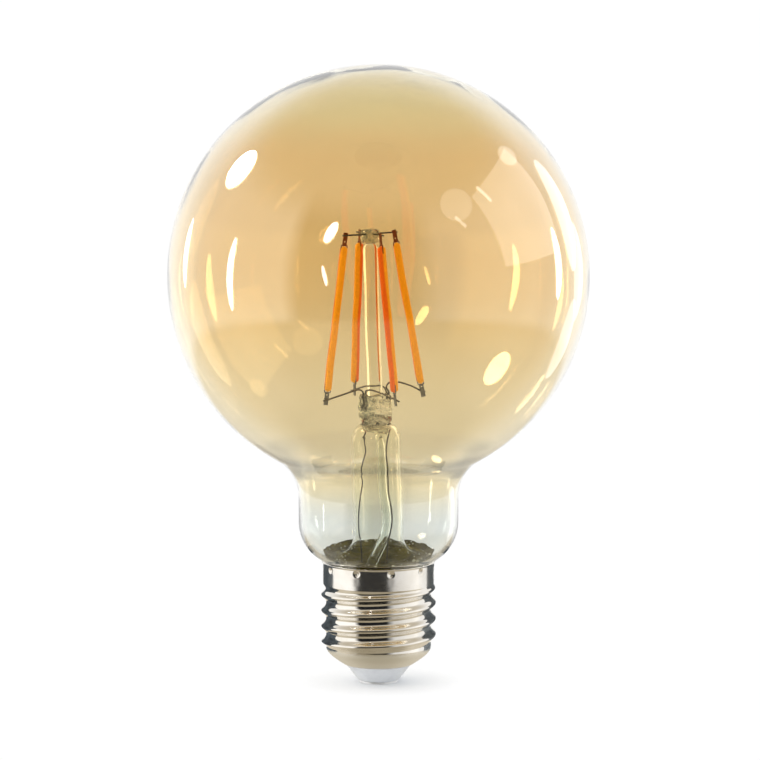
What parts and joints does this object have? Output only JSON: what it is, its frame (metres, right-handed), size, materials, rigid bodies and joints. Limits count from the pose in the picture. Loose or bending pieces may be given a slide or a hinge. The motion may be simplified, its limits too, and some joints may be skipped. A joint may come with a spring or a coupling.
{
  "type": "screw-base globe filament lamp",
  "caption": "Amber glass globe lamp with upright LED filaments on a glass stem, over a nickel screw cap that holds its driver.",
  "frame": {"origin": "centre of the centre contact's end face", "axes": "+Z along the lamp's axis from the cap to the crown of the globe; -Y is the pictured front, +X to its right"},
  "size_m": [0.095, 0.095, 0.14],
  "materials": {
    "amber_glass": "clear blown glass with a thin amber coat inside the globe, fading to clear on the neck",
    "stem_glass": "clear drawn and pressed glass, slightly uneven",
    "exhaust_glass": "clear glass tube with a faint green tint",
    "phosphor": "orange silicone filled with phosphor, satin, slightly translucent",
    "ceramic_strip": "fired white ceramic",
    "led_chip": "polished sapphire chips",
    "browned_clip": "plated steel heat-tinted reddish brown",
    "bare_clip": "plated steel, grey",
    "nickel_wire": "drawn nickel wire, slightly oxidised",
    "dumet_wire": "copper-clad seal wire, reddish inside the glass",
    "lead_wire": "thin plated copper wire, dark",
    "cap_nickel": "bright nickel plate, satin on the collar and dull on the lower cone",
    "contact_metal": "nickel-plated contact",
    "insulator_plastic": "white moulded plastic",
    "cement": "olive-brown cured cement with bubbles",
    "sleeve_plastic": "thin white insulating tube",
    "board_laminate": "green solder mask on glass-fibre laminate",
    "component_black": "moulded black epoxy with tinned legs",
    "capacitor_sleeve": "dark blue shrink sleeve on an aluminium can",
    "ferrite": "sintered dark grey ferrite",
    "copper_winding": "enamelled copper wire",
    "resistor_coat": "green fireproof paint",
    "live_insulation": "red silicone insulation",
    "neutral_insulation": "blue silicone insulation",
    "module_parts": "small laminate board under a tinned shield can",
    "antenna_wire": "enamelled copper whip"
  },
  "bodies": {
    "root": {"globe_glass": "amber_glass", "stem_flare": "stem_glass", "stem_press": "stem_glass", "support_rod": "stem_glass", "rod_button": "stem_glass", "exhaust_tube": "exhaust_glass", "filament_coat_1": "phosphor", "filament_coat_2": "phosphor", "filament_coat_3": "phosphor", "filament_coat_4": "phosphor", "filament_strip_1": "ceramic_strip", "filament_strip_2": "ceramic_strip", "filament_strip_3": "ceramic_strip", "filament_strip_4": "ceramic_strip", "led_chips_1": "led_chip", "led_chips_2": "led_chip", "led_chips_3": "led_chip", "led_chips_4": "led_chip", "top_clip_1": "browned_clip", "top_clip_2": "browned_clip", "top_clip_3": "browned_clip", "top_clip_4": "browned_clip", "bottom_clip_1": "bare_clip", "bottom_clip_2": "bare_clip", "bottom_clip_3": "bare_clip", "bottom_clip_4": "bare_clip", "anchor_wire_1": "nickel_wire", "anchor_wire_2": "nickel_wire", "anchor_wire_3": "nickel_wire", "anchor_wire_4": "nickel_wire", "support_wire_1": "nickel_wire", "support_wire_2": "nickel_wire", "support_wire_3": "nickel_wire", "support_wire_4": "nickel_wire", "seal_wire_left": "dumet_wire", "seal_wire_right": "dumet_wire", "lead_wire_left": "lead_wire", "lead_wire_right": "lead_wire", "cap_shell": "cap_nickel", "centre_contact": "contact_metal", "cap_insulator": "insulator_plastic", "basing_cement": "cement", "insulating_sleeve": "sleeve_plastic", "driver_board": "board_laminate", "bridge_rectifier": "component_black", "driver_chip": "component_black", "chip_resistors": "component_black", "input_capacitor": "capacitor_sleeve", "choke_core": "ferrite", "choke_winding": "copper_winding", "fusible_resistor": "resistor_coat", "live_wire": "live_insulation", "neutral_wire": "neutral_insulation", "wireless_module": "module_parts", "wireless_antenna": "antenna_wire"}
  },
  "joints": []
}
